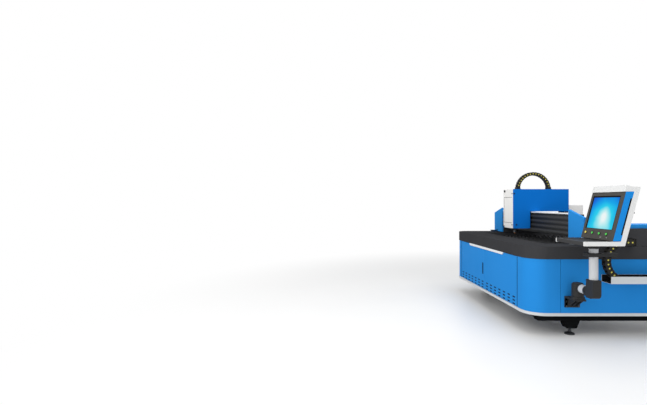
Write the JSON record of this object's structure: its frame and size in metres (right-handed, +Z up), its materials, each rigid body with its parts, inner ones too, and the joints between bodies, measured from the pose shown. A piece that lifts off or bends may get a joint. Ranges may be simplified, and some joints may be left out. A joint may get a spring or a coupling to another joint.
{
  "type": "fiber laser cutting machine",
  "caption": "Open flatbed fiber laser cutter: blue cabinet bed with slat table, travelling gantry and carriage with cutting head, drag chains, operator console on a swivel arm.",
  "frame": {"origin": "on the floor, under the middle of the whole machine", "axes": "+X along the bed away from the cabinet doors, +Y across the bed away from the operator console, +Z up"},
  "size_m": [4.55, 3, 1.7741],
  "materials": {
    "blue_paint": "satin",
    "deep_blue_paint": "satin",
    "black_paint": "textured matt",
    "white_paint": "satin",
    "grey_paint": "satin",
    "black_plastic": "matt",
    "steel": "ground",
    "dark_steel": "matt",
    "brass": "turned",
    "screen_cover": "gloss",
    "yellow_plastic": "gloss",
    "green_plastic": "gloss"
  },
  "bodies": {
    "bed": {"bed_frame": "dark_steel", "rim_cover": "black_paint", "base_trim": "grey_paint", "side_panel_near": "blue_paint", "side_panel_far": "blue_paint", "rear_panel": "blue_paint", "corner_front_near": "blue_paint", "corner_front_far": "blue_paint", "corner_rear_near": "blue_paint", "corner_rear_far": "blue_paint", "front_trim": "white_paint", "hinge_pin_near": "steel", "hinge_pin_far": "steel", "slat_bed": "steel", "guide_rail_near": "steel", "guide_rail_far": "steel", "chain_tray": "grey_paint", "bed_chain": "black_plastic", "levelling_foot_1": "dark_steel", "levelling_foot_2": "dark_steel", "levelling_foot_3": "dark_steel", "levelling_foot_4": "dark_steel", "levelling_foot_5": "dark_steel", "levelling_foot_6": "dark_steel", "arm_bracket": "black_plastic", "laser_source": "grey_paint", "control_cabinet": "grey_paint"},
    "door_near": {"door_near": "blue_paint"},
    "door_far": {"door_far": "blue_paint"},
    "handle": {"door_handle": "black_plastic"},
    "gantry": {"gantry_beam": "black_paint", "beam_cap": "white_paint", "saddle_near": "black_paint", "saddle_far": "black_paint", "end_cover_near": "blue_paint", "end_cover_far": "blue_paint", "chain_bracket": "black_plastic", "beam_chain": "black_plastic"},
    "carriage": {"carriage_shell": "deep_blue_paint", "head_cover": "white_paint", "carriage_plate": "dark_steel", "carriage_box": "white_paint", "head_chain": "black_plastic"},
    "head": {"cutting_head": "steel", "nozzle": "brass"},
    "arm": {"arm_knuckle": "black_plastic", "arm_tube": "grey_paint", "arm_elbow": "black_plastic", "console_pole": "grey_paint", "pole_plate": "black_plastic"},
    "console": {"console_neck": "grey_paint", "console_frame": "white_paint", "console_panel": "blue_paint", "console_bezel": "black_plastic", "console_screen": "screen_cover", "keyboard_tray": "black_plastic"},
    "yellow_button": {"button_yellow": "yellow_plastic"},
    "green_button_1": {"button_green_1": "green_plastic"},
    "green_button_2": {"button_green_2": "green_plastic"},
    "green_button_3": {"button_green_3": "green_plastic"}
  },
  "joints": [
    {"name": "door_near_swing", "type": "hinge", "parent": "bed", "child": "door_near", "pos_m": [-2.261, -0.658, 0.5195], "axis": [0, 0, 1], "range_deg": [0, 110]},
    {"name": "door_far_swing", "type": "hinge", "parent": "bed", "child": "door_far", "pos_m": [-2.261, 1.208, 0.5195], "axis": [0, 0, -1], "range_deg": [0, 110]},
    {"name": "door_handle_lift", "type": "hinge", "parent": "door_far", "child": "handle", "pos_m": [-2.262, 0.345, 0.564], "axis": [0, 1, 0], "range_deg": [0, 40]},
    {"name": "gantry_travel", "type": "slide", "parent": "bed", "child": "gantry", "axis": [1, 0, 0], "range_m": [0, 3], "deforming": ["bed_chain"]},
    {"name": "carriage_travel", "type": "slide", "parent": "gantry", "child": "carriage", "axis": [0, 1, 0], "range_m": [-0.88, 0.6], "deforming": ["beam_chain"]},
    {"name": "head_lift", "type": "slide", "parent": "carriage", "child": "head", "axis": [0, 0, 1], "range_m": [-0.05, 0.07]},
    {"name": "arm_swivel", "type": "hinge", "parent": "bed", "child": "arm", "pos_m": [-1.83, -1.05, 0.5], "axis": [0, 0, 1], "range_deg": [-60, 0]},
    {"name": "console_swivel", "type": "hinge", "parent": "arm", "child": "console", "pos_m": [-1.83, -1.305, 0.94], "axis": [0, 0, 1], "range_deg": [-45, 60]},
    {"name": "yellow_button_press", "type": "slide", "parent": "console", "child": "yellow_button", "axis": [0.9662, 0, -0.2578], "range_m": [0, 0.003], "stiffness_N_per_m": 300, "springref_m": -0.003},
    {"name": "green_button_1_press", "type": "slide", "parent": "console", "child": "green_button_1", "axis": [0.9662, 0, -0.2578], "range_m": [0, 0.003], "stiffness_N_per_m": 300, "springref_m": -0.003},
    {"name": "green_button_2_press", "type": "slide", "parent": "console", "child": "green_button_2", "axis": [0.9662, 0, -0.2578], "range_m": [0, 0.003], "stiffness_N_per_m": 300, "springref_m": -0.003},
    {"name": "green_button_3_press", "type": "slide", "parent": "console", "child": "green_button_3", "axis": [0.9662, 0, -0.2578], "range_m": [0, 0.003], "stiffness_N_per_m": 300, "springref_m": -0.003}
  ]
}
